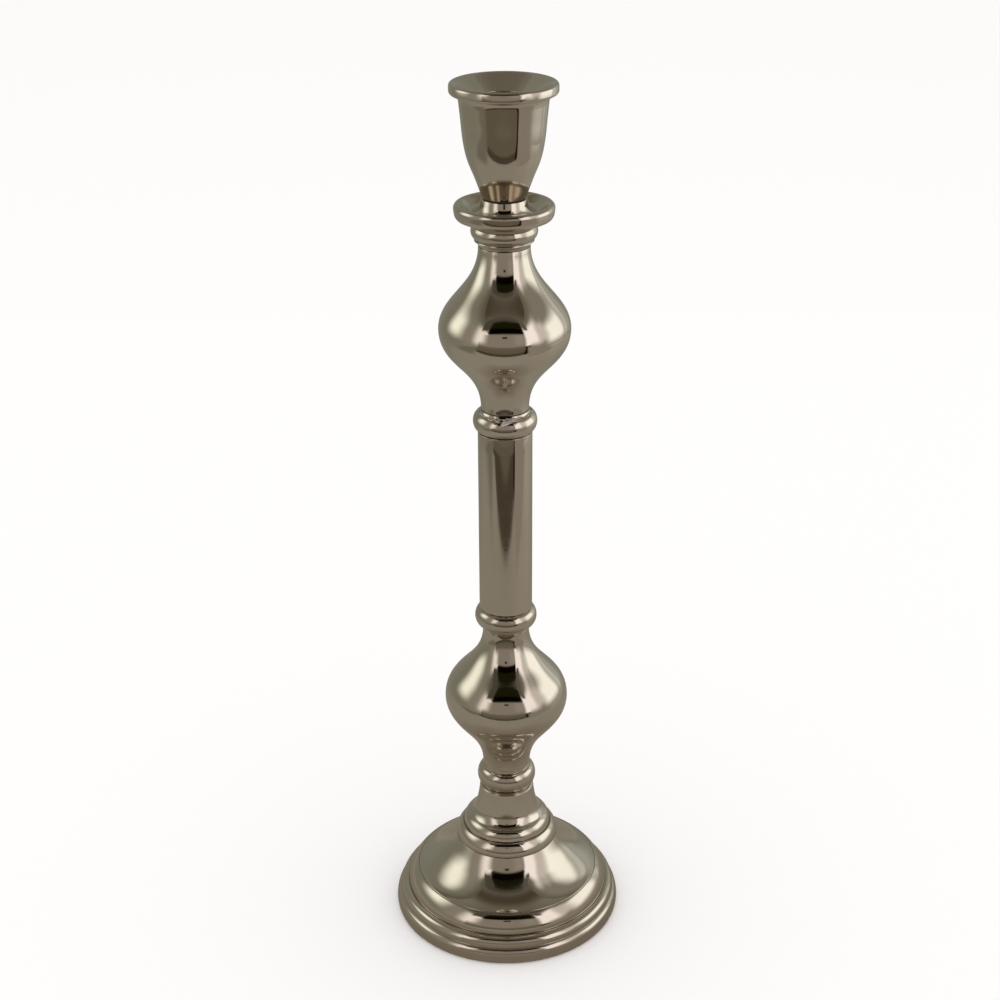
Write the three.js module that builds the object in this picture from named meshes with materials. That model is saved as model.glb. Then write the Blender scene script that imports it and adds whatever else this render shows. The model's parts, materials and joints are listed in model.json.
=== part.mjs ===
// A tall nickel-plated candlestick: cast and turned pieces stacked on a threaded tie rod.
// Millimetres, +Z up. The origin is the centre of the felt pad's underside, on the table.
import * as THREE from 'three';
import { mergeVertices } from 'three/addons/utils/BufferGeometryUtils.js';

// ---------- driving dimensions ----------

const SEGMENTS = 28;          // facets round a plated piece: a multiple of 4, so that one lies on each axis
const SMALL_SEGMENTS = 24;    // and round a small hidden one
const GAP = 0.1;              // air between faces that bear on each other
const BOTTOM = -90;           // angles of an arc in an outline, in degrees
const SIDE = 0;
const TOP = 90;

// threads are plain cylinders at their nominal size
const ROD_R = 3.9;            // M8 tie rod
const TAPPED_R = 4.0;         // holes that the rod screws into
const CLEAR_R = 4.5;          // holes that the rod passes through
const ROD_ENGAGEMENT = 8.75;  // seven turns of M8 in the cup's foot

// heights of the stack, from the table up
const FELT = 2.0;
const RIM_FOOT = 0.3;         // the felt stands this far below the rim
const DOME_TOP = 40.3;
const STEP_TOP = 46.8;
const PEDESTAL_TOP = 69.2;
const LOWER_KNOP_FOOT = 81.9;
const KNOP_HEIGHT = 76.0;
const BEAD_HEIGHT = 10.8;
const UPPER_KNOP_FOOT = 269.8;
const PAN_UNDERSIDE = 357.9;
const PAN_FLOOR = 360.8;
const PAN_NECK_TOP = 366.8;
const CUP_FOOT = 367.5;
const SOCKET_FLOOR = 386.4;
const SOCKET_MOUTH = 410.3;
const CUP_RIM = 416.6;

// radii that set the silhouette
const RIM_R = 56.1;
const STEP_R = 25.2;
const PEDESTAL_R = 21.6;
const KNOP_BELLY_R = 29.6;
const KNOP_WIDE_NECK_R = 11.5;
const KNOP_NARROW_NECK_R = 10.9;
const BASE_BEAD_R = 14.3;
const BEAD_R = 14.75;
const COLLAR_R = 14.75;
const TUBE_R = 12.5;
const PAN_R = 22.1;
const CUP_RIM_R = 23.4;
const SOCKET_R = 11.2;        // for a 22 mm dinner candle

// hidden walls and fits
const KNOP_WALL = 2.4;
const TUBE_WALL = 1.2;
const PLUG_HEIGHT = 12;       // of the brass plugs in the tube's ends
const REGISTER_R = 7.0;       // bores of the castings, which the beads' spigots enter
const SPIGOT = 2.4;           // length of those spigots
const FIT = 0.2;              // radial clearance of a spigot or plug
const BALLAST_R = 50.3;
const LEDGE = 8.5;            // step inside the base that the ballast is drawn up against
const LEDGE_R = 46.8;
const NUT_POCKET_R = 14;
const NUT_POCKET_TOP = 12.4;

// ---------- materials ----------

function metal(colour, roughness) {
  return new THREE.MeshStandardMaterial({ color: colour, roughness, metalness: 1 });
}

const nickel = () => metal(0xb3a897, 0.1);
const zincSteel = () => metal(0xa9acae, 0.35);
const brass = () => metal(0xb08d4c, 0.4);
const castIron = () => metal(0x3d3b39, 0.75);
const fibre = () => new THREE.MeshStandardMaterial({ color: 0x2a211b, roughness: 0.8 });
const felt = () => new THREE.MeshStandardMaterial({ color: 0x1f3a2c, roughness: 1 });

// ---------- outlines: lists of [radius, height] ----------

// points of a cubic curve after its start, with the handle points between the ends
function curve(start, handleA, handleB, end, steps) {
  const ends = [start, handleA, handleB, end].map(([r, z]) => new THREE.Vector2(r, z));
  const points = new THREE.CubicBezierCurve(...ends).getPoints(steps).slice(1);
  return points.map((p) => [p.x, p.y]);
}

// points of an elliptical arc about [r, z], from one angle to the other
function arc(r, z, acrossR, alongZ, from, to, steps) {
  return Array.from({ length: steps + 1 }, (_, i) => {
    const angle = THREE.MathUtils.degToRad(from + ((to - from) * i) / steps);
    return [r + acrossR * Math.cos(angle), z + alongZ * Math.sin(angle)];
  });
}

// the same outline upside down about a height
const upended = (outline, about) => outline.map(([r, z]) => [r, 2 * about - z]);
const raised = (outline, by) => outline.map(([r, z]) => [r, z + by]);

function addMesh(name, geometry, material) {
  geometry.deleteAttribute('normal');
  geometry.deleteAttribute('uv');
  const closed = mergeVertices(geometry, 1e-4);
  closed.computeVertexNormals();
  const mesh = new THREE.Mesh(closed, material);
  mesh.name = name;
  candlestick.add(mesh);
}

// turns an outline about Z: it either closes on itself or starts and ends on the axis
function turned(name, outline, material, segments = SEGMENTS) {
  const onAxis = outline[0][0] === 0 && outline.at(-1)[0] === 0;
  const loop = onAxis ? outline : [...outline, outline[0]];
  const area = loop.slice(1).reduce((sum, [r, z], i) => sum + loop[i][0] * z - r * loop[i][1], 0);
  const anticlockwise = area > 0 ? loop : [...loop].reverse();
  const geometry = new THREE.LatheGeometry(anticlockwise.map(([r, z]) => new THREE.Vector2(r, z)), segments);
  addMesh(name, geometry.rotateX(Math.PI / 2), material);
}

// a plain cylinder with a hole
function sleeve(name, outerR, innerR, low, high, material, segments) {
  turned(name, [[innerR, low], [outerR, low], [outerR, high], [innerR, high]], material, segments);
}

// a flat outline given thickness, standing on a height
function plate(name, outline, low, thick, material) {
  const solid = { depth: thick, bevelEnabled: false, curveSegments: 16 };
  const geometry = new THREE.ExtrudeGeometry(outline, solid);
  addMesh(name, geometry.translate(0, 0, low), material);
}

// ---------- pieces, from the table up ----------

const candlestick = new THREE.Group();

function feltPad() {
  const radius = BALLAST_R - 0.1;
  turned('felt_pad', [[0, 0], [radius, 0], [radius, FELT], [0, FELT]], felt());
}

// hollow casting: upright rim, two ovolo rings, a dome that hollows upwards,
// and a boss that centres the step ring
function baseShell() {
  const rim = [
    [55.4, RIM_FOOT], [55.9, 1.0], [RIM_R, 2.8], [55.8, 5.4], [55.1, 6.9], [54.2, 7.6], [53.7, 7.8],
  ];
  const lowerRing = [...curve([54.0, 8.1], [54.2, 10.9], [52.4, 12.9], [50.2, 12.7], 4), [49.7, 12.3]];
  const upperRing = [
    [50.0, 13.0], ...curve([50.0, 13.0], [50.1, 15.0], [48.9, 18.8], [45.0, 21.9], 5), [44.7, 21.8],
  ];
  const dome = [
    [44.5, 22.1], [42.4, 23.0], [40.0, 24.4], [37.0, 26.6], [34.0, 29.2], [31.0, 32.1], [28.0, 35.7],
    [STEP_R - 0.2, DOME_TOP],
  ];
  const bossR = 10.8;
  const bossTop = DOME_TOP + 2;
  const roof = DOME_TOP - 3;
  const boss = [[bossR, DOME_TOP], [bossR, bossTop], [CLEAR_R, bossTop]];
  const cavity = [
    [CLEAR_R, roof], [22.6, roof], [26.8, 31.8], [31.5, 27.2], [36.4, 23.4], [43.0, 19.9], [LEDGE_R, 14.4],
    [LEDGE_R, LEDGE], [BALLAST_R + 0.3, LEDGE], [BALLAST_R + 0.3, RIM_FOOT],
  ];
  turned('base_shell', [...rim, ...lowerRing, ...upperRing, ...dome, ...boss, ...cavity], nickel());
}

// iron disc inside the base, which the nut draws up against the ledge
function ballast() {
  const underside = FELT + GAP;
  const flangeTop = LEDGE - GAP;
  const boss = { footR: 26, topR: 22, top: 15.6 };
  turned('ballast', [
    [NUT_POCKET_R, underside], [BALLAST_R, underside], [BALLAST_R, flangeTop], [boss.footR, flangeTop],
    [boss.topR, boss.top], [CLEAR_R, boss.top], [CLEAR_R, NUT_POCKET_TOP], [NUT_POCKET_R, NUT_POCKET_TOP],
  ], castIron());
}

// washers and nut, stacked down from the roof of the ballast's pocket
function baseFasteners() {
  const washer = { r: 12, thick: 1.6 };
  const lock = { outerR: 7.4, innerR: 4.2, thick: 2.0, split: 12 };
  const nut = { acrossFlats: 13, high: 6.3 };
  const washerLow = NUT_POCKET_TOP - GAP - washer.thick;
  const lockLow = washerLow - GAP - lock.thick;
  const nutLow = lockLow - GAP - nut.high;

  sleeve('flat_washer', washer.r, CLEAR_R, washerLow, washerLow + washer.thick, zincSteel(), SMALL_SEGMENTS);

  const halfSplit = THREE.MathUtils.degToRad(lock.split / 2);
  const ring = new THREE.Shape();
  ring.absarc(0, 0, lock.outerR, halfSplit, 2 * Math.PI - halfSplit, false);
  ring.absarc(0, 0, lock.innerR, 2 * Math.PI - halfSplit, halfSplit, true);
  ring.closePath();
  plate('spring_washer', ring, lockLow, lock.thick, zincSteel());

  const cornerR = nut.acrossFlats / 2 / Math.cos(Math.PI / 6);
  const corners = Array.from({ length: 6 }, (_, i) => {
    const angle = (i * Math.PI) / 3;
    return new THREE.Vector2(cornerR * Math.cos(angle), cornerR * Math.sin(angle));
  });
  const hexagon = new THREE.Shape(corners);
  hexagon.holes.push(new THREE.Path().absarc(0, 0, TAPPED_R, 0, 2 * Math.PI, true));
  plate('base_nut', hexagon, nutLow, nut.high, zincSteel());
}

// quarter-round ring between the dome and the pedestal
function stepRing() {
  const low = DOME_TOP + GAP;
  const boreR = 11;
  const register = { r: 16.2, top: STEP_TOP + 1.8 };
  turned('step_ring', [
    [boreR, low], [STEP_R, low],
    ...curve([STEP_R, low], [STEP_R + 0.1, 43.0], [24.0, 45.3], [PEDESTAL_R + 0.7, STEP_TOP], 5),
    [register.r, STEP_TOP], [register.r, register.top], [boreR, register.top],
  ], nickel());
}

// hollow casting: a full rounded toe, a small hollow, and a slender cone that ends in a shoulder
function pedestal() {
  const low = STEP_TOP + GAP;
  const footR = PEDESTAL_R - 0.1;
  const toeEnd = [18.0, 52.6];
  const coneFoot = [15.3, 56.4];
  const coneTop = [13.3, 67.7];
  turned('pedestal', [
    [footR, low], ...curve([footR, low], [footR, 49.6], [20.3, 51.5], toeEnd, 5),
    ...curve(toeEnd, [16.6, 53.8], [15.9, 55.0], coneFoot, 3),
    ...curve(coneFoot, [14.7, 58.8], [13.8, 62.5], coneTop, 3),
    [coneTop[0] - 0.1, 68.6], [12.3, PEDESTAL_TOP], [REGISTER_R, PEDESTAL_TOP], [REGISTER_R, 64.0],
    [10.2, 60.4], [12.4, 55.4], [15.4, 51.4], [16.6, 50.0], [16.6, low],
  ], nickel());
}

// half-round bead below the lower knop, with a spigot at each end
function baseBead() {
  const low = PEDESTAL_TOP + GAP;
  const high = LOWER_KNOP_FOOT - GAP;
  const bulge = { across: 3.6, along: 5.3, centre: 74.9 };
  const spigotR = REGISTER_R - FIT;
  turned('base_bead', [
    [CLEAR_R, low - SPIGOT], [spigotR, low - SPIGOT], [spigotR, low], [11.4, low],
    ...arc(BASE_BEAD_R - bulge.across, bulge.centre, bulge.across, bulge.along, BOTTOM + 12, TOP - 6, 7),
    [11.2, high], [spigotR, high], [spigotR, high + SPIGOT], [CLEAR_R, high + SPIGOT],
  ], nickel());
}

// hollow pear-shaped casting about its own middle, wide neck up; both knops are cast from it
function knopOutline() {
  const half = KNOP_HEIGHT / 2;
  const belly = [KNOP_BELLY_R, 0];
  const neckTop = [KNOP_WIDE_NECK_R, half];
  const neckFoot = [KNOP_NARROW_NECK_R, -half];
  const upper = curve(belly, [KNOP_BELLY_R, 13.9], [KNOP_WIDE_NECK_R, half - 18.4], neckTop, 8);
  const lower = curve(belly, [KNOP_BELLY_R, -16.1], [KNOP_NARROW_NECK_R, 20.3 - half], neckFoot, 8);
  const cavityR = KNOP_BELLY_R - KNOP_WALL;
  const cavity = [cavityR, 0];
  const cavityTop = [KNOP_WIDE_NECK_R - KNOP_WALL - 0.5, half - 5];
  const cavityFoot = [KNOP_NARROW_NECK_R - KNOP_WALL - 0.3, 5 - half];
  const cavityUpper = curve(cavity, [cavityR, 12.0], [cavityTop[0], half - 20.4], cavityTop, 4);
  const cavityLower = curve(cavity, [cavityR, -14.0], [cavityFoot[0], 22.4 - half], cavityFoot, 4);
  return [
    ...lower.reverse(), belly, ...upper, [REGISTER_R, half], [REGISTER_R, half - 3.5],
    ...cavityUpper.reverse(), cavity, ...cavityLower, [REGISTER_R, 3.5 - half], [REGISTER_R, -half],
  ];
}

function knops() {
  const half = KNOP_HEIGHT / 2;
  turned('lower_knop', raised(upended(knopOutline(), 0), LOWER_KNOP_FOOT + half), nickel());
  turned('upper_knop', raised(knopOutline(), UPPER_KNOP_FOOT + half), nickel());
}

// half-round bead with its flat face at height 0 and a spigot for the knop at the other end
function beadOutline() {
  const coreR = 11.2;
  const bulge = { across: BEAD_R - coreR, along: 4.75, centre: 4.9 };
  const spigotR = REGISTER_R - FIT;
  const spigotTop = BEAD_HEIGHT + SPIGOT;
  return [
    [CLEAR_R, 0], [coreR + 0.4, 0],
    ...arc(coreR, bulge.centre, bulge.across, bulge.along, BOTTOM + 6, TOP - 6, 7),
    [coreR - 0.2, BEAD_HEIGHT], [spigotR, BEAD_HEIGHT], [spigotR, spigotTop], [CLEAR_R, spigotTop],
  ];
}

// drawn tube between the two beads, kept round the rod by a turned plug in each end
function column() {
  const low = LOWER_KNOP_FOOT + KNOP_HEIGHT + BEAD_HEIGHT + 2 * GAP;
  const high = UPPER_KNOP_FOOT - BEAD_HEIGHT - 2 * GAP;
  const boreR = TUBE_R - TUBE_WALL;
  turned('lower_bead', upended(beadOutline(), (low - GAP) / 2), nickel());
  turned('upper_bead', raised(beadOutline(), high + GAP), nickel());
  sleeve('column_tube', TUBE_R, boreR, low, high, nickel());
  sleeve('tube_bush_bottom', boreR - FIT, CLEAR_R, low, low + PLUG_HEIGHT, brass(), SMALL_SEGMENTS);
  sleeve('tube_bush_top', boreR - FIT, CLEAR_R, high - PLUG_HEIGHT, high, brass(), SMALL_SEGMENTS);
}

// collar under the pan: a round bead over a small cove, with a spigot in the upper knop's wide neck
function panCollar() {
  const low = UPPER_KNOP_FOOT + KNOP_HEIGHT + GAP;
  const high = PAN_UNDERSIDE - GAP;
  const bulge = { across: 3.75, along: 4.1, centre: 352.6 };
  const neckR = 12.8;
  const spigotR = REGISTER_R - FIT;
  turned('pan_collar', [
    [CLEAR_R, low - SPIGOT], [spigotR, low - SPIGOT], [spigotR, low], [11.3, low],
    ...curve([11.3, low], [11.5, low + 0.7], [12.2, 347.6], [13.3, 348.3], 3), [13.0, 348.8],
    ...arc(COLLAR_R - bulge.across, bulge.centre, bulge.across, bulge.along, -58, 58, 6),
    [neckR, high - 1.6], [neckR, high], [CLEAR_R, high],
  ], nickel());
}

// drip pan with a dished face, a thin lip and a flared neck,
// tapped so that it clamps the stack on the rod
function dripPan() {
  const outside = [[20.8, 358.2], [21.6, 359.3], [22.0, 361.2], [PAN_R, 362.8], [21.9, 363.5], [21.4, 364.1]];
  const lip = [[20.9, 364.6], [20.4, 364.75], [19.6, 364.45]];
  const dish = curve([19.6, 364.45], [18.6, 363.8], [17.0, 361.8], [15.0, PAN_FLOOR], 3);
  const flare = curve([15.0, PAN_FLOOR], [12.6, PAN_FLOOR - 0.8], [10.9, 362.1], [10.2, 364.5], 5);
  turned('drip_pan', [
    [TAPPED_R, PAN_UNDERSIDE], [19.8, PAN_UNDERSIDE], ...outside, ...lip, ...dish, ...flare,
    [9.75, PAN_NECK_TOP], [TAPPED_R, PAN_NECK_TOP],
  ], nickel());
}

// thin washer in the seam between the pan's neck and the cup
function cupWasher() {
  sleeve('cup_washer', 8.9, CLEAR_R, PAN_NECK_TOP + 0.05, CUP_FOOT - 0.05, fibre(), SMALL_SEGMENTS);
}

// bell-shaped cup with a rolled rim, a funnel mouth, a candle socket and a blind tapped foot
function candleCup() {
  const bell = new THREE.SplineCurve([
    [9.75, CUP_FOOT], [10.5, 369.8], [12.75, 376], [15.9, 384], [17.6, 392], [18.6, 402], [19.3, 408.6],
  ].map(([r, z]) => new THREE.Vector2(r, z))).getPoints(10).map((p) => [p.x, p.y]);
  const roll = { half: 2.43, round: 1.45 };
  const rollR = CUP_RIM_R - roll.round;
  const tappedTop = CUP_FOOT + ROD_ENGAGEMENT + 2;
  turned('candle_cup', [
    [0, tappedTop], [TAPPED_R, tappedTop], [TAPPED_R, CUP_FOOT], ...bell, [19.9, 410.6], [21.0, 411.5],
    ...arc(rollR, CUP_RIM - 2 * roll.half + roll.round, roll.round, roll.round, BOTTOM + 20, SIDE, 3),
    ...arc(rollR, CUP_RIM - roll.round, roll.round, roll.round, SIDE, TOP + 30, 4),
    [SOCKET_R, SOCKET_MOUTH], [SOCKET_R, SOCKET_FLOOR], [0, SOCKET_FLOOR],
  ], nickel());
}

// steel rod from the base nut to the cup's foot
function tieRod() {
  const low = FELT + 0.4;
  const high = CUP_FOOT + ROD_ENGAGEMENT;
  const chamfer = 0.8;
  const endR = ROD_R - chamfer;
  turned('tie_rod', [
    [0, low], [endR, low], [ROD_R, low + chamfer], [ROD_R, high - chamfer], [endR, high], [0, high],
  ], zincSteel(), SMALL_SEGMENTS);
}

feltPad();
baseShell();
ballast();
baseFasteners();
stepRing();
pedestal();
baseBead();
knops();
column();
panCollar();
dripPan();
cupWasher();
candleCup();
tieRod();

export default candlestick;
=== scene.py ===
"""The looks of a tall nickel-plated candlestick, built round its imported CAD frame. Metres, +Z up.

Every turned piece gets a finer body of the same outline as its CAD node. Outlines are lists of (radius,
height) in millimetres, with heights above the node's own foot, and the places come from the frame.
"""
import json
import math
import random

import bpy
from mathutils import Matrix, Vector, noise

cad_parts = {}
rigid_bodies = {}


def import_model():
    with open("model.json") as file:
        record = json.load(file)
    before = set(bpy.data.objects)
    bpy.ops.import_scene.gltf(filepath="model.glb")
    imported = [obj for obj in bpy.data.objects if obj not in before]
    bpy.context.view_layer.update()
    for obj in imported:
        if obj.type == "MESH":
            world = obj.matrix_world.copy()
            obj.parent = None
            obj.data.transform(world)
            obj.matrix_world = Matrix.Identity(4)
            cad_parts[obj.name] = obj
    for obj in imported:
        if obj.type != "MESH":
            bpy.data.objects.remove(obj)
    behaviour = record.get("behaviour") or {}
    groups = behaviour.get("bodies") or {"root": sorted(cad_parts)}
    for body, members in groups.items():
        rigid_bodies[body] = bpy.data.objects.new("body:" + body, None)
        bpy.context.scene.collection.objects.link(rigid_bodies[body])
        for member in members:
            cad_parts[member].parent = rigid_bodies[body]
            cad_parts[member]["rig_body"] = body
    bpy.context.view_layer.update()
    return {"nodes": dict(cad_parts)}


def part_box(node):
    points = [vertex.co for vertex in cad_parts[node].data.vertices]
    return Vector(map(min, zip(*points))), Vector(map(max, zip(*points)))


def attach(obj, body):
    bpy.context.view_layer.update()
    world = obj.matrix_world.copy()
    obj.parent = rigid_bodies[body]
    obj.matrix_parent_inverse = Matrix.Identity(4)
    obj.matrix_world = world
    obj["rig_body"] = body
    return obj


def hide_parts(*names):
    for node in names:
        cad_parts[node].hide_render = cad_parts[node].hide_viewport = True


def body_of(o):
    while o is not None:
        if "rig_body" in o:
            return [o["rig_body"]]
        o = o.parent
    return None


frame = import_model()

MM = 0.001
FACETS = 144                        # round a turned piece
EDGE = 0.22                         # usual rounding of a turned corner, mm
SHARP = math.radians(28)            # a corner that turns by less isn't rounded
SEAM_SHADE_REACH = 0.3                   # how far the painted shade and old polish spread from a seam, mm
BOTTOM, SIDE, TOP = -90, 0, 90      # directions in a section, degrees
CLEAR_R, TAPPED_R = 4.5, 4.0        # holes that the rod passes through and screws into, mm
REGISTER_R, SPIGOT_R = 7.0, 6.8     # bores of the castings, and the spigots that enter them
PITCH, THREAD_DEPTH = 1.25, 0.62    # M8 coarse thread
CUP_FOOT_R = 9.75                   # where the cup stands on the pan's neck
KNOP_WIDE_R, KNOP_NARROW_R = 11.5, 10.9                     # the two necks of a knop
BEAD_CORE_R, BEAD_CENTRE, BEAD_RISE = 11.2, 4.9, 4.75       # round face of the beads beside the tube


def reach(node):
    """A node's largest radius, mm."""
    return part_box(node)[1].x / MM


def height(node):
    low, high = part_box(node)
    return (high.z - low.z) / MM


# ---------- outlines ----------

def curve(start, handle_a, handle_b, end, steps=10):
    """Points of a cubic curve after its start."""
    corners = start, handle_a, handle_b, end
    points = []
    for i in range(1, steps + 1):
        t = i / steps
        weights = (1 - t) ** 3, 3 * t * (1 - t) ** 2, 3 * t * t * (1 - t), t ** 3
        points.append(tuple(sum(w * c[k] for w, c in zip(weights, corners)) for k in (0, 1)))
    return points


def arc(r, z, across, along, start, end, steps=10):
    """Points of an elliptical arc about (r, z), between two angles in degrees."""
    angles = [math.radians(start + (end - start) * i / steps) for i in range(steps + 1)]
    return [(r + across * math.cos(a), z + along * math.sin(a)) for a in angles]


def spline(points, steps=5):
    """A smooth curve through all the points."""
    ends = [points[0]] + list(points) + [points[-1]]
    found = [points[0]]
    for a, b, c, d in zip(ends, ends[1:], ends[2:], ends[3:]):
        for i in range(1, steps + 1):
            t = i / steps
            found.append(tuple(
                0.5 * (2 * b[k] + (c[k] - a[k]) * t + (2 * a[k] - 5 * b[k] + 4 * c[k] - d[k]) * t * t
                       + (3 * b[k] - a[k] - 3 * c[k] + d[k]) * t ** 3) for k in (0, 1)))
    return found


def upended(outline, tall):
    return [(r, tall - z) for r, z in reversed(outline)]


def eased(outline, size, on_axis):
    """The outline with its sharp corners rounded by small arcs, apart from ends on the axis."""
    count, found = len(outline), []
    for i, here in enumerate(outline):
        if on_axis and i in (0, count - 1):
            found.append(here)
            continue
        before, after = Vector(outline[i - 1]), Vector(outline[(i + 1) % count])
        here = Vector(here)
        come, leave = here - before, after - here
        if min(come.length, leave.length) < 1e-6 or come.angle(leave) < SHARP:
            found.append(tuple(here))
            continue
        cut = min(size, 0.45 * come.length, 0.45 * leave.length)
        a, b = here - come.normalized() * cut, here + leave.normalized() * cut
        for k in range(4):
            t = k / 3
            found.append(tuple(a * (1 - t) ** 2 + here * 2 * t * (1 - t) + b * t ** 2))
    return found


def divided(outline, on_axis, longest, seams):
    """The outline with its straight stretches divided, more finely close to a seam, where the painted shade
    and old polish are.
    """
    ends = list(outline) + ([] if on_axis else [outline[0]])
    found = []
    for a, b in zip(ends, ends[1:]):
        length, along = math.dist(a, b), 0.0
        while along < length:
            here = tuple(p + (q - p) * along / length for p, q in zip(a, b))
            found.append(here)
            near = min([math.dist(here, seam[:2]) for seam in seams], default=longest)
            step = min(longest, max(0.3, 0.8 * near))
            along = length if along + 1.4 * step > length else along + step
    return found + ([ends[-1]] if on_axis else [])


# ---------- making pieces ----------

def placed(name, node, verts, faces, material, smooth=True):
    """A piece that stands for a CAD node and moves with its body."""
    mesh = bpy.data.meshes.new(name)
    mesh.from_pydata(verts, [], faces)
    mesh.polygons.foreach_set("use_smooth", [smooth] * len(faces))
    mesh.update()
    mesh.materials.append(material)
    piece = bpy.data.objects.new(name, mesh)
    bpy.context.scene.collection.objects.link(piece)
    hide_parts(node)
    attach(piece, body_of(frame["nodes"][node])[0])
    return piece


def seam_shade_and_polish_at(point, seams):
    """How much painted shade and old polish a point gets, from seams given as (radius, height, strength)."""
    seam_darkening = [strength * math.exp(-math.dist(point, (r, z)) / SEAM_SHADE_REACH) for r, z, strength in seams]
    return max(seam_darkening, default=0.0)


def unevenness(angle, z, foot):
    """Slow waves left by hand polishing, about -1 to 1, which differ from piece to piece."""
    stretch, fineness, apart = 22, 1.7, 40
    place = Vector((math.cos(angle), math.sin(angle), z / stretch)) * fineness
    return noise.noise(place + Vector((0, 0, foot * apart)))


def turned(node, outline, material, seams=(), ease=EDGE, waves=0.0, longest=6.0):
    """A turned piece in the place of a CAD node. Its seams, as (radius, height, strength), set its painted
    shade and old polish.
    """
    on_axis = outline[0][0] == 0 and outline[-1][0] == 0
    outline = divided(eased(outline, ease, on_axis), on_axis, longest, seams)
    if sum(a[0] * b[1] - b[0] * a[1] for a, b in zip(outline, outline[1:] + outline[:1])) < 0:
        outline = outline[::-1]
    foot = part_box(node)[0].z
    verts, rings, seam_shade_and_polish = [], [], []
    for r, z in outline:
        ring = 1 if r == 0 else FACETS
        rings.append(range(len(verts), len(verts) + ring))
        # painted shade and old polish round the seams, one value for each vertex
        seam_shade_and_polish += [seam_shade_and_polish_at((r, z), seams)] * ring
        for k in range(ring):
            a = 2 * math.pi * k / FACETS
            swell = waves * unevenness(a, z, foot)
            verts.append(((r + swell) * math.cos(a) * MM, (r + swell) * math.sin(a) * MM, foot + z * MM))
    faces = []
    for low, high in list(zip(rings, rings[1:])) + ([] if on_axis else [(rings[-1], rings[0])]):
        for k in range(FACETS):
            n = (k + 1) % FACETS
            quad = [low[k % len(low)], low[n % len(low)], high[n % len(high)], high[k % len(high)]]
            faces.append(list(dict.fromkeys(quad)))
    piece = placed(node + "_turned", node, verts, faces, material)
    # the seams' painted shade and old polish, kept for the plate's colour
    piece.data.attributes.new("seam_shade_and_polish", "FLOAT", "POINT").data.foreach_set("value", seam_shade_and_polish)


def grid_body(node, rings, material, facets, closed=True):
    """A body from rings of (radius as a function of angle, height above the node's foot), joined in order.
    A closed body's last ring joins its first, and an open one has a flat face at each end."""
    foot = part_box(node)[0].z
    verts, faces = [], []
    for radius, z in rings:
        for k in range(facets):
            a = 2 * math.pi * k / facets
            r = radius(a)
            verts.append((r * math.cos(a) * MM, r * math.sin(a) * MM, foot + z * MM))
    count = len(rings)
    for i in range(count if closed else count - 1):
        low, high = i * facets, (i + 1) % count * facets
        for k in range(facets):
            n = (k + 1) % facets
            faces.append((low + k, low + n, high + n, high + k))
    if not closed:
        faces.append(tuple(range(facets))[::-1])
        faces.append(tuple(range((count - 1) * facets, count * facets)))
    return placed(node + "_made", node, verts, faces, material)


# ---------- nickel-plated pieces ----------

def candle_cup(material):
    """Bell with a rolled rim, a funnel mouth and a candle socket, tapped in its foot."""
    rim_r, top = reach("candle_cup"), height("candle_cup")
    roll, roll_half = 1.45, 2.43
    roll_r = rim_r - roll
    socket_r, socket_floor, socket_mouth = 11.2, 18.9, 42.8
    throat = (socket_r + 0.5, socket_mouth + 0.3)
    tapped_top = 10.75
    bell = spline([
        (CUP_FOOT_R, 0), (10.5, 2.3), (12.75, 8.5), (15.9, 16.5), (17.6, 24.5), (18.6, 34.5), (19.3, 41.1),
    ])
    outline = [
        (0, tapped_top), (TAPPED_R, tapped_top), (TAPPED_R, 0), *bell,
        *curve(bell[-1], (19.6, 43.2), (20.2, 44.2), (roll_r - 0.3, top - 2 * roll_half), 5),
        *arc(roll_r, top - 2 * roll_half + roll, roll, roll, BOTTOM + 10, SIDE, 6),
        *arc(roll_r, top - roll, roll, roll, SIDE, TOP + 30, 8),
        *curve((roll_r - 0.7, top - 0.2), (19.5, top - 1.1), (14.5, top - 4.2), throat, 6),
        (socket_r, socket_mouth), (socket_r, socket_floor), (0, socket_floor),
    ]
    seams = [(CUP_FOOT_R, 0, 0.7), (19.7, 43.7, 0.6), (socket_r, socket_floor, 1)]
    turned("candle_cup", outline, material, seams=seams, waves=0.03)


def drip_pan(material):
    """Thin lip, dished face and a flared neck."""
    pan_r, top = reach("drip_pan"), height("drip_pan")
    foot_r, floor, lip = 19.6, 2.9, 6.85
    outline = [
        (TAPPED_R, 0), (foot_r, 0), *curve((foot_r, 0), (20.9, 0), (21.3, 0.8), (21.7, 1.7), 5),
        *curve((21.7, 1.7), (22.0, 3.0), (pan_r, 4.2), (pan_r, 4.9), 6),
        *curve((pan_r, 4.9), (pan_r, 5.8), (21.3, lip), (20.4, lip), 8),
        *curve((20.4, lip), (20.0, lip), (19.9, lip - 0.1), (19.6, lip - 0.3), 3),
        *curve((19.6, lip - 0.3), (18.6, 5.9), (17.0, 3.9), (15.0, floor), 10),
        *curve((15.0, floor), (12.6, 2.1), (10.9, 4.2), (10.2, 6.6), 14),
        (CUP_FOOT_R, top), (TAPPED_R, top),
    ]
    turned("drip_pan", outline, material, seams=[(CUP_FOOT_R, top, 0.6), (14.0, 0, 0.6)], waves=0.02)


def pan_collar(material):
    """Round bead over a small cove."""
    collar_r, top = reach("pan_collar"), height("pan_collar")
    bulge, rise, centre, neck_r = 3.75, 4.1, 9.1, 12.8
    cove, crease = (11.3, 2.4), (13.0, 5.3)
    outline = [
        (CLEAR_R, 0), (SPIGOT_R, 0), (SPIGOT_R, cove[1]), cove,
        *curve(cove, (11.5, 3.1), (12.2, 4.1), (13.3, 4.8), 8), crease,
        *arc(collar_r - bulge, centre, bulge, rise, -58, 58, 22),
        (neck_r, top - 1.6), (neck_r, top), (CLEAR_R, top),
    ]
    seams = [(*cove, 0.6), (*crease, 1), (neck_r, top, 1)]
    turned("pan_collar", outline, material, seams=seams, waves=0.02)


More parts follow.
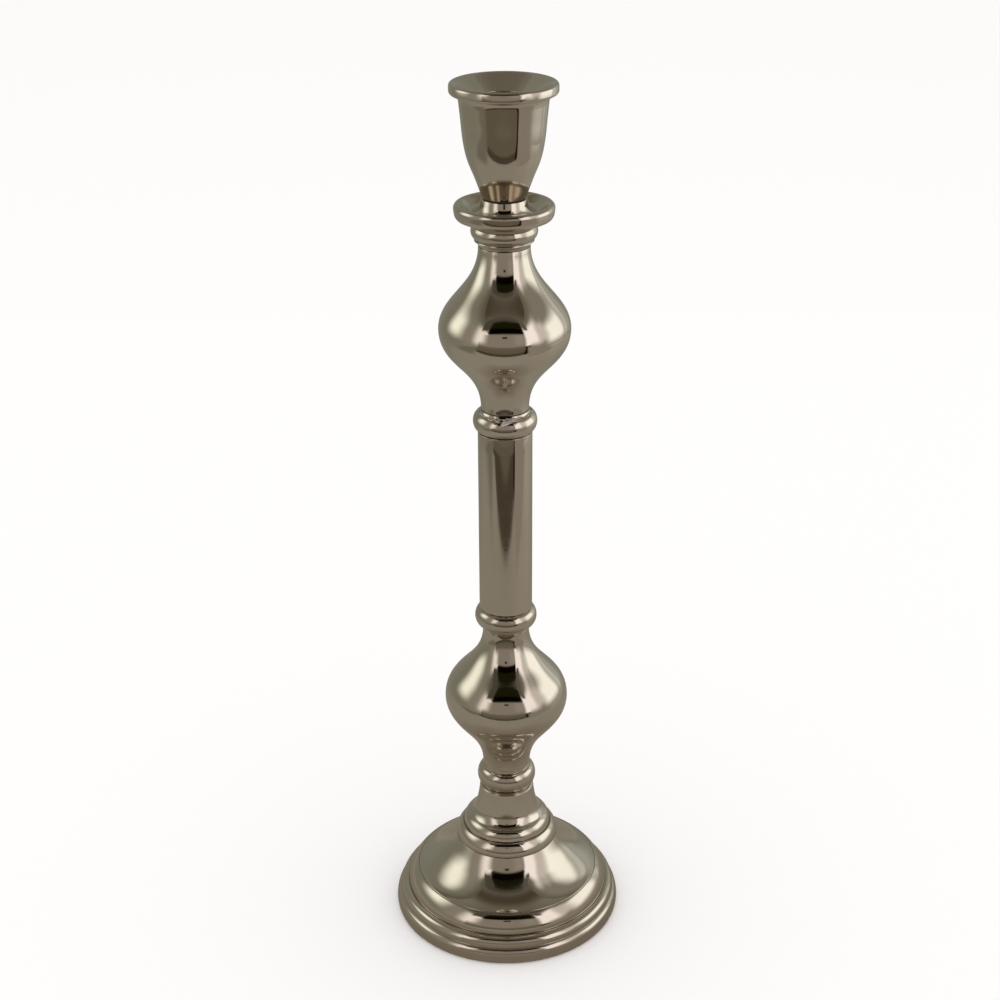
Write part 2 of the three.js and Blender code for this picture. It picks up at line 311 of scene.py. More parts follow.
def knop_outline(belly_r, tall):
    """The hollow knop casting, wide neck up."""
    half, wall = tall / 2, 2.4
    belly, wide, narrow = (belly_r, half), (KNOP_WIDE_R, tall), (KNOP_NARROW_R, 0)
    upper = curve(belly, (belly_r, half + 13.9), (KNOP_WIDE_R, tall - 18.4), wide, 26)
    lower = curve(belly, (belly_r, half - 16.1), (KNOP_NARROW_R, 20.3), narrow, 26)
    deep, high, foot = belly_r - wall, KNOP_WIDE_R - wall - 0.5, KNOP_NARROW_R - wall - 0.3
    cavity_upper = curve((deep, half), (deep, half + 12.0), (high, tall - 20.4), (high, tall - 5), 10)
    cavity_lower = curve((deep, half), (deep, half - 14.0), (foot, 22.4), (foot, 5), 10)
    return [
        *lower[::-1], belly, *upper, (REGISTER_R, tall), (REGISTER_R, tall - 3.5),
        *cavity_upper[::-1], (deep, half), *cavity_lower, (REGISTER_R, 3.5), (REGISTER_R, 0),
    ]


def knops(material):
    """The same casting twice, the lower one upside down."""
    tall = height("upper_knop")
    casting = knop_outline(reach("upper_knop"), tall)
    seams = [(KNOP_WIDE_R, tall, 0.6), (KNOP_NARROW_R, 0, 1)]
    turned("upper_knop", casting, material, seams=seams, waves=0.05)
    seams = [(KNOP_WIDE_R, 0, 0.7), (KNOP_NARROW_R, tall, 0.7)]
    turned("lower_knop", upended(casting, tall), material, seams=seams, waves=0.05)


def tube_beads(material):
    """The same half-round bead at each end of the tube, the lower one upside down."""
    tall, bulge = height("upper_bead"), reach("upper_bead") - BEAD_CORE_R
    face = tall - 2.4
    outline = [
        (CLEAR_R, 0), (BEAD_CORE_R + 0.4, 0),
        *arc(BEAD_CORE_R, BEAD_CENTRE, bulge, BEAD_RISE, BOTTOM + 6, TOP - 6, 24),
        (BEAD_CORE_R - 0.2, face), (SPIGOT_R, face), (SPIGOT_R, tall), (CLEAR_R, tall),
    ]
    turned("upper_bead", outline, material, seams=[(11.6, 0, 0.8), (11.0, face, 1)], waves=0.02)
    seams = [(11.6, tall, 0.5), (11.0, tall - face, 0.7)]
    turned("lower_bead", upended(outline, tall), material, seams=seams, waves=0.02)


def base_bead(material):
    """Half-round bead between the lower knop and the pedestal."""
    tall, spigot, bulge = height("base_bead"), 2.4, 3.6
    core_r, centre = reach("base_bead") - bulge, spigot + 5.6
    outline = [
        (CLEAR_R, 0), (SPIGOT_R, 0), (SPIGOT_R, spigot), (core_r + 0.7, spigot),
        *arc(core_r, centre, bulge, 5.3, BOTTOM + 12, TOP - 6, 24),
        (11.2, tall - spigot), (SPIGOT_R, tall - spigot), (SPIGOT_R, tall), (CLEAR_R, tall),
    ]
    seams = [(11.4, spigot, 0.8), (11.2, tall - spigot, 0.7)]
    turned("base_bead", outline, material, seams=seams, waves=0.02)


def sliver(stations, on_surface):
    """A thin torn flake, from stations of (angle, lean, half width). on_surface turns the first two into a
    place and a normal, in millimetres."""
    spine = [on_surface(angle, lean) for angle, lean, _ in stations]
    verts, faces = [], []
    for i, ((place, normal), (_, _, half)) in enumerate(zip(spine, stations)):
        ahead, behind = spine[min(i + 1, len(spine) - 1)][0], spine[max(i - 1, 0)][0]
        side = (ahead - behind).cross(normal).normalized()
        ragged = 1 + 0.5 * noise.noise(place * 1.9)
        thick, sunk = 0.16 + 0.1 * half, 0.2
        verts += [place - side * half * ragged, place + normal * thick]
        verts += [place + side * half / ragged, place - normal * sunk]
    for i in range(len(stations) - 1):
        for k in range(4):
            n = (k + 1) % 4
            faces.append((4 * i + k, 4 * i + n, 4 * i + 4 + n, 4 * i + 4 + k))
    faces += [(3, 2, 1, 0), tuple(range(len(verts) - 4, len(verts)))]
    return verts, faces


def on_upper_bead(angle, lean):
    """A place just over the upper bead and the normal there, mm. The angle is from the front, to the right,
    and the lean is the direction in the bead's section, in degrees."""
    foot, bulge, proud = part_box("upper_bead")[0].z / MM, 3.55, 0.12
    a, lean = math.radians(angle - 90), math.radians(lean)
    r, z = BEAD_CORE_R + bulge * math.cos(lean), foot + BEAD_CENTRE + BEAD_RISE * math.sin(lean)
    level, upward = math.cos(lean), math.sin(lean) * bulge / BEAD_RISE
    out = Vector((level * math.cos(a), level * math.sin(a), upward)).normalized()
    return Vector((r * math.cos(a), r * math.sin(a), z)) + out * proud, out


def torn_joint(material):
    """Flakes of torn metal in the joint over the upper bead, one of them long and bent down at the front."""
    flakes = [[(36, 86, 0.3), (26, 80, 0.9), (16, 72, 1.3), (6, 58, 1.5), (-3, 42, 1.0), (-9, 26, 0.1)]]
    small, spread = 34, 200
    rng = random.Random(4)
    for k in range(small):
        at = -spread / 2 + spread * (k + rng.random()) / small
        long, half = rng.uniform(4, 11), rng.uniform(0.12, 0.4)
        lean, tilt = rng.uniform(70, 80), rng.uniform(-9, 9)
        middle, tip = (at + long / 2, lean - tilt / 2, half), (at + long, lean - tilt, 0.05)
        flakes.append([(at, lean, 0.05), middle, tip])
    verts, faces = [], []
    for flake in flakes:
        points, sides = sliver(flake, on_upper_bead)
        faces += [tuple(len(verts) + i for i in face) for face in sides]
        verts += [p * MM for p in points]
    mesh = bpy.data.meshes.new("torn_joint")
    mesh.from_pydata(verts, [], faces)
    piece = bpy.data.objects.new("torn_joint", mesh)
    bpy.context.scene.collection.objects.link(piece)
    mesh.materials.append(material)
    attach(piece, body_of(frame["nodes"]["upper_bead"])[0])


def column_tube(material):
    """Straight drawn tube."""
    tube_r, tall = reach("column_tube"), height("column_tube")
    bore_r = tube_r - 1.2
    outline = [(bore_r, 0), (tube_r, 0), (tube_r, tall), (bore_r, tall)]
    turned("column_tube", outline, material, seams=[(tube_r, 0, 0.7), (tube_r, tall, 0.7)], waves=0.015)


def pedestal(material):
    """A full rounded toe, a tight hollow above it, and a slender cone that ends in a shoulder."""
    toe_r, tall = reach("pedestal"), height("pedestal")
    toe_end, cone_foot, shoulder = (18.0, 5.7), (15.3, 9.5), 13.3
    outline = [
        (toe_r, 0), *curve((toe_r, 0), (toe_r, 2.7), (20.3, 4.6), toe_end, 12),
        *curve(toe_end, (16.6, 6.9), (15.9, 8.1), cone_foot, 8),
        *curve(cone_foot, (14.7, 11.9), (13.8, 15.6), (shoulder, tall - 1.5), 10),
        (shoulder - 0.1, tall - 0.6), (12.3, tall), (REGISTER_R, tall), (REGISTER_R, tall - 5.2),
        (10.2, 13.5), (12.4, 8.5), (15.4, 4.5), (16.6, 3.1), (16.6, 0),
    ]
    turned("pedestal", outline, material, seams=[(toe_r, 0, 1), (12.3, tall, 0.8)], waves=0.03)


def step_ring(material):
    """Quarter-round ring with a spigot on top."""
    ring_r, tall = reach("step_ring"), height("step_ring")
    top_r, spigot_r, bore_r, face = 22.3, 16.2, 11, tall - 1.8
    outline = [
        (bore_r, 0), (ring_r, 0), *curve((ring_r, 0), (ring_r + 0.1, 2.6), (24.0, 4.9), (top_r, face), 14),
        (spigot_r, face), (spigot_r, tall), (bore_r, tall),
    ]
    turned("step_ring", outline, material, seams=[(ring_r, 0, 1), (top_r - 0.6, face, 1)], waves=0.02)


def base_shell(material):
    """Upright rim, two rounded rings between sharp grooves, and a dome that hollows upwards. Its heights are
    given above the table."""
    foot, rim_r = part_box("base_shell")[0].z / MM, reach("base_shell")
    roof, top, ledge, bore_r, skirt_r = 37.3, 42.3, 8.5, 46.8, 50.6
    rim_groove, middle_groove, dome_groove, dome_top = (53.7, 7.8), (49.7, 12.3), (44.7, 21.8), (25, 40.3)
    dome = spline([
        (44.5, 22.1), (42.4, 23.0), (40, 24.4), (37, 26.6), (34, 29.2), (31, 32.1), (28, 35.7), dome_top,
    ])
    outline = [
        (55.4, foot), *curve((55.4, foot), (56.0, foot + 0.2), (rim_r, 2.2), (rim_r, 2.8), 5),
        *curve((rim_r, 2.8), (56.0, 5.2), (55.6, 6.6), (54.2, 7.6), 7), rim_groove,
        (54.0, 8.1), *curve((54.0, 8.1), (54.2, 10.9), (52.4, 12.9), (50.2, 12.7), 12), middle_groove,
        (50.0, 13.0), *curve((50.0, 13.0), (50.1, 15.0), (48.9, 18.8), (45.0, 21.9), 14), dome_groove,
        *dome, (10.8, 40.3), (10.8, top), (CLEAR_R, top), (CLEAR_R, roof),
        (22.6, roof), (26.8, 31.8), (31.5, 27.2), (36.4, 23.4), (43.0, 19.9),
        (bore_r, 14.4), (bore_r, ledge), (skirt_r, ledge), (skirt_r, foot),
    ]
    outline = [(r, z - foot) for r, z in outline]
    seams = [(*rim_groove, 0.5), (*middle_groove, 1), (*dome_groove, 1), (*dome_top, 1)]
    seams = [(r, z - foot, strength) for r, z, strength in seams]
    turned("base_shell", outline, material, seams=seams, waves=0.04, ease=0.14)


# ---------- hidden pieces ----------

def thread_depth(z, angle, low, high):
    """How far a right-hand thread between two heights is cut in at a point, with a run-out at each end."""
    run_out, cut_share = 0.9, 0.8
    turn = (z / PITCH - angle / (2 * math.pi)) % 1
    valley = max(0.0, 1 - abs(2 * turn - 1) / cut_share)
    fade = min(1.0, max(0.0, min(z - low, high - z) / run_out))
    return THREAD_DEPTH * valley * fade


def tie_rod(material):
    """Rod with a plain shank and a thread cut at each end, which runs out past the chamfered tips."""
    rod_r, tall = reach("tie_rod"), height("tie_rod")
    chamfer, thread, step = 0.8, 24.0, PITCH / 6
    fine, shank_rings = thread + 1, 24
    spans = [(-1.0, thread), (tall - thread, tall + 1.0)]

    def radius_at(z):
        end = min(1.0, min(z, tall - z) / chamfer)
        core = rod_r - chamfer * (1 - end)
        return lambda a: core - min(0.95, end + 0.2) * max(thread_depth(z, a, *s) for s in spans)

    ends = [i * step for i in range(int(fine / step) + 1)]
    shank = [fine + (tall - 2 * fine) * i / shank_rings for i in range(1, shank_rings)]
    heights = ends + shank + [tall - z for z in reversed(ends)]
    grid_body("tie_rod", [(radius_at(z), z) for z in heights], material, 24, closed=False)


def base_nut(material):
    """Hexagon nut with chamfered corners and a countersunk bore."""
    corner_r, tall = reach("base_nut"), height("base_nut")
    flat_r = corner_r * math.cos(math.pi / 6)

    def hexagon(limit):
        def radius(a):
            side = (a % (math.pi / 3)) - math.pi / 6
            return min(flat_r / math.cos(side), limit)
        return radius

    chamfers = [(flat_r - 0.25, 0), (flat_r + 0.15, 0.12), (corner_r, 0.72)]
    outside = [(hexagon(r), z) for r, z in chamfers] + [(hexagon(r), tall - z) for r, z in reversed(chamfers)]
    bore = [(TAPPED_R + 0.5, tall), (TAPPED_R, tall - 0.5), (TAPPED_R, 0.5), (TAPPED_R + 0.5, 0)]
    rings = outside + [(lambda a, r=r: r, z) for r, z in bore]
    grid_body("base_nut", rings, material, 96)


def spring_washer(material):
    """Split ring of square wire, drawn almost flat, with its two ends cut on the slant."""
    outer_r, tall = reach("spring_washer"), height("spring_washer")
    inner_r, lift, ease, steps = 4.2, 0.3, 0.15, 72
    wire = tall - lift
    section = [
        (inner_r + ease, 0), (outer_r - ease, 0), (outer_r, ease), (outer_r, wire - ease),
        (outer_r - ease, wire), (inner_r + ease, wire), (inner_r, wire - ease), (inner_r, ease),
    ]
    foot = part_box("spring_washer")[0].z
    gap, slant = math.radians(6), math.radians(7)
    verts, faces = [], []
    for i in range(steps + 1):
        for r, z in section:
            a = gap + (2 * math.pi - 2 * gap) * i / steps
            if i in (0, steps):
                a += slant * (z / wire - 0.5)
            rise = z + lift * i / steps
            verts.append((r * math.cos(a) * MM, r * math.sin(a) * MM, foot + rise * MM))
    sides = len(section)
    for i in range(steps):
        for k in range(sides):
            n = (k + 1) % sides
            faces.append(((i + 1) * sides + k, (i + 1) * sides + n, i * sides + n, i * sides + k))
    faces.append(tuple(range(sides))[::-1])
    faces.append(tuple(range(steps * sides, (steps + 1) * sides)))
    placed("spring_washer_made", "spring_washer", verts, faces, material, smooth=False)


def sleeve(node, material, ease):
    """A plain ring round the rod."""
    outer_r, tall = reach(node), height(node)
    outline = [(CLEAR_R, 0), (outer_r, 0), (outer_r, tall), (CLEAR_R, tall)]
    turned(node, outline, material, ease=ease)


def ballast(material):
    """Iron disc with a boss, hollowed under it for the nut."""
    flange_r, tall = reach("ballast"), height("ballast")
    flange, boss_foot_r, boss_r, pocket_r, pocket = 6.3, 26.0, 22.0, 14.0, 10.3
    outline = [
        (pocket_r, 0), (flange_r, 0), (flange_r, flange), (boss_foot_r, flange), (boss_r, tall),
        (CLEAR_R, tall), (CLEAR_R, pocket), (pocket_r, pocket),
    ]
    turned("ballast", outline, material, ease=0.8, waves=0.12, longest=4.0)


def felt_pad(material):
    """Pressed felt, thinning and softening at its cut edge, with a slightly dimpled face."""
    radius, thick = reach("felt_pad"), height("felt_pad")
    fuzz, dimple, plain_edge, fade = 0.12, 0.09, 3, 4
    shares = [0.02, 0.3] + [x / 20 for x in range(8, 20)]
    section = [
        *[(f * radius, 0.0) for f in shares], (radius - 0.5, 0.0), (radius - 0.12, 0.3), (radius, 0.8),
        (radius - 0.05, 1.5), (radius - 0.4, thick), *[(f * radius, thick) for f in reversed(shares)],
    ]

    def ragged(r, z):
        depth = fuzz if radius - r < 1.0 else 0.0
        return lambda a: r - depth * abs(noise.noise(Vector((math.cos(a) * 40, math.sin(a) * 40, z * 3))))

    pad = grid_body("felt_pad", [(ragged(r, z), z) for r, z in section], material, 120, closed=False)
    for v in pad.data.vertices:
        inwards = radius - plain_edge - math.hypot(v.co.x, v.co.y) / MM
        if v.co.z < 0.1 * MM and inwards > 0:
            deep = 0.5 + 0.5 * noise.noise(Vector((v.co.x, v.co.y, 0)) * 260)
            v.co.z += dimple * MM * deep * min(1.0, inwards / fade)


# ---------- materials ----------

class Nodes:
    """Short calls for a procedural material's node tree. Coordinates are object space, in metres."""

    def __init__(self, name):
        self.material = bpy.data.materials.new(name)
        self.material.use_nodes = True
        self.tree = self.material.node_tree
        self.shader = self.tree.nodes["Principled BSDF"]
        self.place = self.tree.nodes.new("ShaderNodeTexCoord").outputs["Object"]

    def node(self, kind, inputs=None, **settings):
        found = self.tree.nodes.new(kind)
        for key, value in settings.items():
            setattr(found, key, value)
        for key, value in (inputs or {}).items():
            self.set(found.inputs[key], value)
        return found

    def set(self, socket, value):
        if isinstance(value, bpy.types.NodeSocket):
            self.tree.links.new(value, socket)
        else:
            socket.default_value = value

    def stretched(self, scale):
        return self.node("ShaderNodeMapping", {"Vector": self.place, "Scale": scale}).outputs["Vector"]

    def noise(self, scale, detail=3.0, rough=0.5, where=None):
        inputs = {"Vector": where or self.place, "Scale": scale, "Detail": detail, "Roughness": rough}
        return self.node("ShaderNodeTexNoise", inputs).outputs["Fac"]

    def ranged(self, value, low, high, to_low=0.0, to_high=1.0):
        inputs = {"Value": value, "From Min": low, "From Max": high, "To Min": to_low, "To Max": to_high}
        return self.node("ShaderNodeMapRange", inputs).outputs["Result"]

    def math(self, operation, a, b=0.0):
        return self.node("ShaderNodeMath", {0: a, 1: b}, operation=operation).outputs[0]

    def mixed(self, share, a, b):
        found = self.node("ShaderNodeMix", data_type="RGBA")
        for socket, value in zip((found.inputs[0], found.inputs[6], found.inputs[7]), (share, a, b)):
            self.set(socket, value)
        return found.outputs[2]

    def attribute(self, name):
        return self.node("ShaderNodeAttribute", attribute_name=name).outputs["Fac"]

    def bump(self, heights, depth):
        """A normal from heights laid one over the other, each of the same depth in metres."""
        normal = None
        for value in heights:
            inputs = {"Height": value, "Distance": depth, "Strength": 1.0}
            if normal is not None:
                inputs["Normal"] = normal
            normal = self.node("ShaderNodeBump", inputs).outputs["Normal"]
        return normal

    def finish(self, **sockets):
        """The material, with the shader's inputs set. An input's name is given as in base_color."""
        for key, value in sockets.items():
            self.set(self.shader.inputs[key.replace("_", " ").title()], value)
        return self.material


def nickel_plate():
    """Polished plate: warm, nearly a mirror, with faint buffing rings, haze, and painted shade with old
    polish in the creases.
    """
    m = Nodes("nickel_plate")
    cloudy = m.noise(28, 4, 0.6)
    colour = m.mixed(m.ranged(cloudy, 0.35, 0.65), (0.66, 0.60, 0.525, 1), (0.61, 0.55, 0.475, 1))
    broken = m.ranged(m.noise(400, 2), 0, 1, -0.12, 0.12)
    # painted shade with old polish: the plate darkens almost to black and grows rougher at the seams
    crease = m.ranged(m.math("ADD", m.attribute("seam_shade_and_polish"), broken), 0.3, 1.0)
    colour = m.mixed(crease, colour, (0.09, 0.07, 0.05, 1))
    haze = m.ranged(m.noise(55, 5, 0.62), 0.42, 0.72, 0.045, 0.10)
    rough = m.math("ADD", haze, m.math("MULTIPLY", crease, 0.3))
    rings = m.noise(1.0, 2, 0.6, m.stretched((60, 60, 5200)))
    return m.finish(metallic=1.0, base_color=colour, roughness=rough, normal=m.bump([rings], 0.000004))


def torn_metal():
    """Bare, crumpled metal where the plate is torn."""
    m = Nodes("torn_metal")
    grain = m.noise(900, 4, 0.7)
    colour = m.mixed(m.ranged(grain, 0.35, 0.65), (0.30, 0.27, 0.23, 1), (0.80, 0.76, 0.70, 1))
    rough = m.ranged(grain, 0.3, 0.7, 0.2, 0.45)
    crumpled = m.bump([m.noise(1400, 3, 0.6)], 0.00006)
    return m.finish(metallic=0.65, base_color=colour, roughness=rough, normal=crumpled)


def zinc_steel():
    """Zinc-plated steel, faintly drawn along the rod."""
    m = Nodes("zinc_steel")
    colour = m.mixed(m.noise(180, 4), (0.56, 0.57, 0.58, 1), (0.68, 0.67, 0.62, 1))
    drawn = m.noise(1.0, 3, 0.6, m.stretched((900, 900, 90)))
    rough = m.ranged(m.noise(320, 3), 0.3, 0.7, 0.24, 0.44)
    return m.finish(metallic=1.0, base_color=colour, roughness=rough, normal=m.bump([drawn], 0.00002))


def turned_brass():
    """Brass with the fine rings of the lathe."""
    m = Nodes("turned_brass")
    colour = m.mixed(m.noise(120, 4), (0.70, 0.52, 0.24, 1), (0.55, 0.38, 0.17, 1))
    cuts = m.noise(1.0, 1, 0.5, m.stretched((40, 40, 4000)))
    rough = m.ranged(m.noise(200, 3), 0.3, 0.7, 0.28, 0.46)
    return m.finish(metallic=1.0, base_color=colour, roughness=rough, normal=m.bump([cuts], 0.00001))


def cast_iron():
    """Rough, dark iron with patches of rust."""
    m = Nodes("cast_iron")
    grain, lumps = m.noise(1400, 4, 0.7), m.noise(160, 4, 0.6)
    rust = m.ranged(m.noise(70, 5, 0.65), 0.55, 0.72)
    bare = m.mixed(lumps, (0.045, 0.043, 0.042, 1), (0.11, 0.105, 0.10, 1))
    colour = m.mixed(rust, bare, (0.17, 0.075, 0.035, 1))
    rough = m.ranged(grain, 0.3, 0.7, 0.6, 0.88)
    return m.finish(metallic=0.75, base_color=colour, roughness=rough, normal=m.bump([lumps, grain], 0.00012))


def vulcanised_fibre():
    """Dark flecked fibre board."""
    m = Nodes("vulcanised_fibre")
    flecks = m.noise(900, 3, 0.6)
    colour = m.mixed(m.ranged(flecks, 0.35, 0.7), (0.035, 0.022, 0.016, 1), (0.085, 0.055, 0.038, 1))
    rough = m.ranged(flecks, 0.3, 0.7, 0.6, 0.85)
    return m.finish(base_color=colour, roughness=rough, normal=m.bump([flecks], 0.00002))


def wool_felt():
    """Matted fibres: short noise streaks laid several ways, with a soft sheen."""
    m = Nodes("wool_felt")
    lays = (2600, 320, 900), (380, 2400, 900), (1500, 1500, 1500)
    streaks = [m.noise(1.0, 3, 0.65, m.stretched(lay)) for lay in lays]
    matted = m.math("MAXIMUM", m.math("MAXIMUM", streaks[0], streaks[1]), streaks[2])
    patchy = m.noise(90, 4, 0.6)
    deep = m.mixed(patchy, (0.012, 0.060, 0.032, 1), (0.022, 0.088, 0.050, 1))
    colour = m.mixed(m.ranged(matted, 0.5, 0.8), deep, (0.055, 0.16, 0.095, 1))
    rough, fibres = m.ranged(matted, 0.4, 0.8, 0.98, 0.85), m.bump([matted], 0.0003)
    return m.finish(base_color=colour, roughness=rough, normal=fibres, sheen_weight=0.5, sheen_roughness=0.4)


# ---------- studio ----------

LENS = (0, -0.7577, 0.5737)     # where the camera stands, a small dark thing in the reflections


def camera():
    """Well above the cup's rim, looking down, and turned by a hair, since the stick isn't quite centred."""
    data = bpy.data.cameras.new("camera")
    data.sensor_width, data.lens = 36.0, 64.8
    seen = bpy.data.objects.new("camera", data)
    yaw, pitch, roll = math.radians(0.19), math.radians(24.8), math.radians(0.32)
    turn = Matrix.Rotation(yaw, 4, "Z") @ Matrix.Rotation(math.pi / 2 - pitch, 4, "X")
    seen.matrix_world = Matrix.Translation(LENS) @ (turn @ Matrix.Rotation(-roll, 4, "Z"))
    bpy.context.scene.collection.objects.link(seen)
    bpy.context.scene.camera = seen


# The reflections come from a light tent that only glossy rays see. It is a box round the object, and each of
# its walls has a plain tone and soft-edged cards, later ones over earlier ones: (across, up, half width, half
# height, softness, light, turn), in metres on the wall, linear RGB and degrees. Across is X, or Y on the side
# walls, and up is Z, or Y on the floor and the top.
ROOM, ROOM_TOP, ROOM_FLOOR = 0.9, 1.7, -0.001
BLACK = (0.004, 0.004, 0.003)
TENT = {
    "right": ((0.30, 0.28, 0.235), [
        (-0.20, 1.66, 1.20, 0.26, 0.26, (0.18, 0.165, 0.13), 0),          # dim under the ceiling
        (-0.84, 0.72, 0.40, 0.54, 0.20, (1.34, 1.28, 1.27), 0),           # window near the front corner
        (-0.36, 0.62, 0.16, 0.36, 0.14, (0.80, 0.75, 0.70), 0),           # paler wall between two windows
        (0.17, 0.44, 0.36, 0.32, 0.16, (1.42, 1.44, 1.36), 0),            # window
        (0.74, 0.42, 0.16, 0.40, 0.14, (0.72, 0.74, 0.68), 0),            # its light on the wall behind
    ]),
    "left": ((0.26, 0.255, 0.205), [
        (-0.20, 1.66, 1.20, 0.30, 0.26, (0.15, 0.14, 0.105), 0),          # dim under the ceiling
        (-0.55, 0.60, 0.30, 0.50, 0.20, (0.34, 0.315, 0.26), 0),          # wall between two windows
        (-0.93, 0.70, 0.24, 0.50, 0.20, (1.16, 1.10, 1.04), 0),           # window near the front corner
        (0.11, 0.64, 0.24, 0.30, 0.20, (1.36, 1.40, 1.24), 0),            # window
    ]),
    "front": ((0.10, 0.088, 0.068), [
        (0.0, 0.24, 1.0, 0.58, 0.10, (0.31, 0.28, 0.235), 0),             # lighter lower half
        (0.42, 0.50, 0.16, 0.24, 0.12, (0.38, 0.345, 0.30), 0),           # glow beside the window
        (0.0, 0.02, 1.0, 0.12, 0.06, (0.175, 0.152, 0.115), 0),           # dim foot of the wall
        (-0.86, 0.70, 0.24, 0.38, 0.18, (1.20, 1.14, 1.07), 0),           # window in the left corner
        (-0.62, 0.87, 0.12, 0.05, 0.05, (1.25, 1.20, 1.10), -25),         # its slanted head
        (0.92, 1.28, 0.24, 0.30, 0.16, (1.00, 0.95, 0.92), 0),            # light high in the right corner
        (0.86, 0.66, 0.225, 0.52, 0.04, (1.34, 1.28, 1.27), 0),           # tall window
        (0.045, 1.16, 0.59, 0.34, 0.045, (0.012, 0.012, 0.004), 0),       # dark opening over the camera
        (-0.66, 1.46, 0.20, 0.40, 0.05, (0.09, 0.08, 0.06), -17),         # its slanted left side
        (0.76, 1.46, 0.15, 0.40, 0.05, (0.14, 0.125, 0.10), 12),          # its slanted right side
        (0.045, 0.98, 0.56, 0.14, 0.03, (0.003, 0.001, 0.001), 0),        # its black foot
        (0.66, 0.45, 0.008, 0.33, 0.006, (0.12, 0.10, 0.08), 0),          # bar at the tall window's edge
        (0.68, -0.01, 0.06, 0.085, 0.02, (0.006, 0.003, 0.001), 0),       # dark spot below it
    ]),
    "back": ((0.27, 0.275, 0.23), [
        (0.78, 0.40, 0.22, 0.45, 0.25, (0.50, 0.52, 0.47), 0),            # lighter corner
    ]),
    "floor": ((0.275, 0.268, 0.222), [
        (0.0, -0.10, 0.60, 0.34, 0.14, (0.335, 0.312, 0.262), 0),         # lit floor round the stick
        (0.75, 0.35, 0.35, 0.50, 0.22, (0.42, 0.40, 0.34), 0),            # window light, back right
        (0.40, -0.20, 0.14, 0.14, 0.16, (0.38, 0.34, 0.295), 0),          # window light, front right
        (0.88, 0.22, 0.07, 0.26, 0.10, (0.60, 0.58, 0.52), 0),            # brighter at the right wall
        (0.0, 0.0, 0.11, 0.12, 0.06, (0.26, 0.225, 0.18), 0),             # the stick's shade
        (-0.30, -0.918, 0.90, 0.50, 0.010, (0.150, 0.130, 0.094), 0),     # beyond the table's edge
        (-0.06, -0.492, 0.50, 0.06, 0.014, (0.08, 0.065, 0.045), 0),      # dark strip along the edge
        (-0.90, -0.54, 0.55, 0.20, 0.08, (0.20, 0.19, 0.15), 50),         # dim left corner
        (0.76, -0.53, 0.50, 0.24, 0.01, (0.31, 0.28, 0.235), -52),        # slanted lit patch, right
        (0.56, -0.74, 0.42, 0.030, 0.010, (0.012, 0.008, 0.004), -52),    # its dark edge
        (-0.08, -0.421, 0.42, 0.007, 0.006, (0.03, 0.025, 0.02), 0),      # dark line at the edge
        (0.0, 0.0, 0.04, 0.04, 0.05, (0.12, 0.11, 0.09), 0),              # painted shadow, darker right under the stick
    ]),
    "top": ((0.25, 0.235, 0.19), [
        (0.0, 0.0, 0.55, 0.80, 0.35, (0.175, 0.165, 0.125), 0),           # dimmer middle
        (0.0, -0.6, 1.2, 0.3, 0.3, (0.085, 0.07, 0.048), 0),              # darkest over the camera
    ]),
}


def glow_material(name, tone, cards, axes):
    """Emission from soft-edged cards laid over a plain tone."""
    m = Nodes(name)
    parts = m.node("ShaderNodeSeparateXYZ", {"Vector": m.place}).outputs
    light = (*tone, 1)
    for at_a, at_b, half_a, half_b, soft, colour, turn in cards:
        cos, sin = math.cos(math.radians(turn)), math.sin(math.radians(turn))
        across, up = (m.math("SUBTRACT", parts[axis], at) for axis, at in zip(axes, (at_a, at_b)))
        if turn:
            along = m.math("ADD", m.math("MULTIPLY", across, cos), m.math("MULTIPLY", up, sin))
            up = m.math("SUBTRACT", m.math("MULTIPLY", up, cos), m.math("MULTIPLY", across, sin))
            across = along
        inside = []
        for value, half in ((across, half_a), (up, half_b)):
            ramp = {"Value": m.math("ABSOLUTE", value), "From Min": half + soft, "From Max": half - soft}
            edge = m.node("ShaderNodeMapRange", ramp, interpolation_type="SMOOTHSTEP")
            inside.append(edge.outputs["Result"])
        light = m.mixed(m.math("MULTIPLY", *inside), light, (*colour, 1))
    glow = m.node("ShaderNodeEmission", {"Color": light, "Strength": 1.0})
    m.tree.links.new(glow.outputs["Emission"], m.tree.nodes["Material Output"].inputs["Surface"])
    m.material.cycles.emission_sampling = "NONE"
    return m.material


def seen_in_metal_only(staged):
    staged.visible_camera = False
    staged.visible_diffuse = False
    staged.visible_shadow = False
    staged.visible_transmission = False


def tent_wall(side):
    """One side of the light tent, a plane across the X, Y or Z axis."""
    axis, place = {
        "left": (0, -ROOM), "front": (1, -ROOM), "floor": (2, ROOM_FLOOR),
        "right": (0, ROOM), "back": (1, ROOM), "top": (2, ROOM_TOP),
    }[side]
    across, up = [(1, 2), (0, 2), (0, 1)][axis]
    low, high = (-ROOM, -ROOM, ROOM_FLOOR), (ROOM, ROOM, ROOM_TOP)
    corners = []
    for a, b in ((low, low), (high, low), (high, high), (low, high)):
        corner = [place] * 3
        corner[across], corner[up] = a[across], b[up]
        corners.append(corner)
    tone, cards = TENT[side]
    material = glow_material("tent_" + side, tone, cards, (across, up))
    seen_in_metal_only(stage_mesh("tent_" + side, corners, [(0, 1, 2, 3)], material))


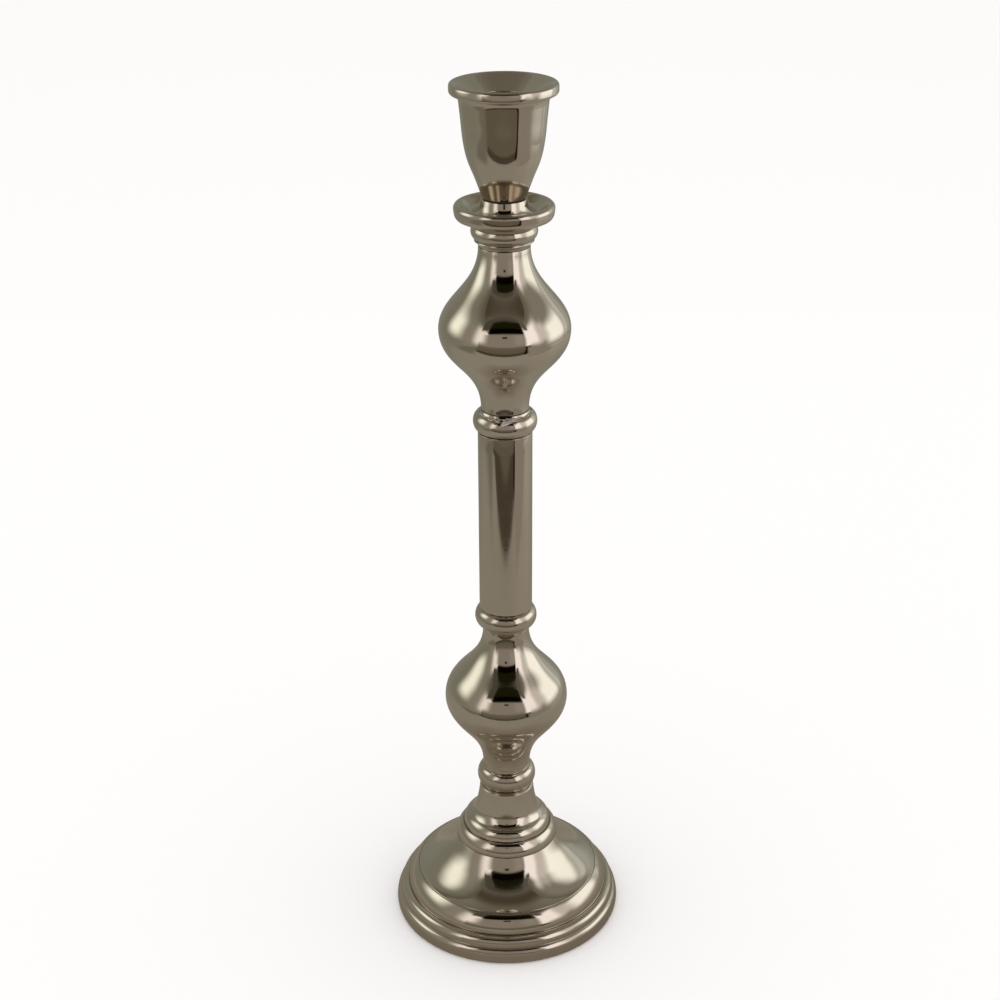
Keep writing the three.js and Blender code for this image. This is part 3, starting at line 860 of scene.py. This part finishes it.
def dark_lens():
    """The camera's front, which the round pieces mirror as a tiny dark dot."""
    half_wide, half_high = 0.055, 0.035
    x, y, z = LENS
    corners = [(x + a * half_wide, y, z + b * half_high) for a, b in ((-1, -1), (1, -1), (1, 1), (-1, 1))]
    material = glow_material("lens", BLACK, [], (0, 2))
    seen_in_metal_only(stage_mesh("lens", corners, [(0, 1, 2, 3)], material))


def stage_mesh(name, verts, faces, material):
    mesh = bpy.data.meshes.new(name)
    mesh.from_pydata(verts, [], faces)
    mesh.materials.append(material)
    staged = bpy.data.objects.new(name, mesh)
    bpy.context.scene.collection.objects.link(staged)
    return staged


def studio():
    """A white floor under an even white sky, which the metal doesn't reflect, and the tent, which it does."""
    scene = bpy.context.scene
    scene.view_settings.view_transform = "Standard"
    world = bpy.data.worlds.new("studio")
    scene.world = world
    world.use_nodes = True
    world.node_tree.nodes["Background"].inputs["Color"].default_value = (1, 0.985, 0.985, 1)
    world.node_tree.nodes["Background"].inputs["Strength"].default_value = 1.09
    world.cycles_visibility.glossy = False
    pale = Nodes("pale_floor").finish(base_color=(0.95, 0.945, 0.94, 1), roughness=0.9)
    far = 8.0
    corners = [(-far, -far, 0), (far, -far, 0), (far, far, 0), (-far, far, 0)]
    floor = stage_mesh("floor", corners, [(0, 1, 2, 3)], pale)
    floor.visible_glossy = False
    for side in TENT:
        tent_wall(side)
    dark_lens()


nickel = nickel_plate()
candle_cup(nickel)
drip_pan(nickel)
pan_collar(nickel)
knops(nickel)
tube_beads(nickel)
base_bead(nickel)
torn_joint(torn_metal())
column_tube(nickel)
pedestal(nickel)
step_ring(nickel)
base_shell(nickel)
steel, brass = zinc_steel(), turned_brass()
tie_rod(steel)
base_nut(steel)
spring_washer(steel)
sleeve("flat_washer", steel, ease=0.25)
sleeve("tube_bush_top", brass, ease=0.5)
sleeve("tube_bush_bottom", brass, ease=0.5)
sleeve("cup_washer", vulcanised_fibre(), ease=0.08)
ballast(cast_iron())
felt_pad(wool_felt())
camera()
studio()
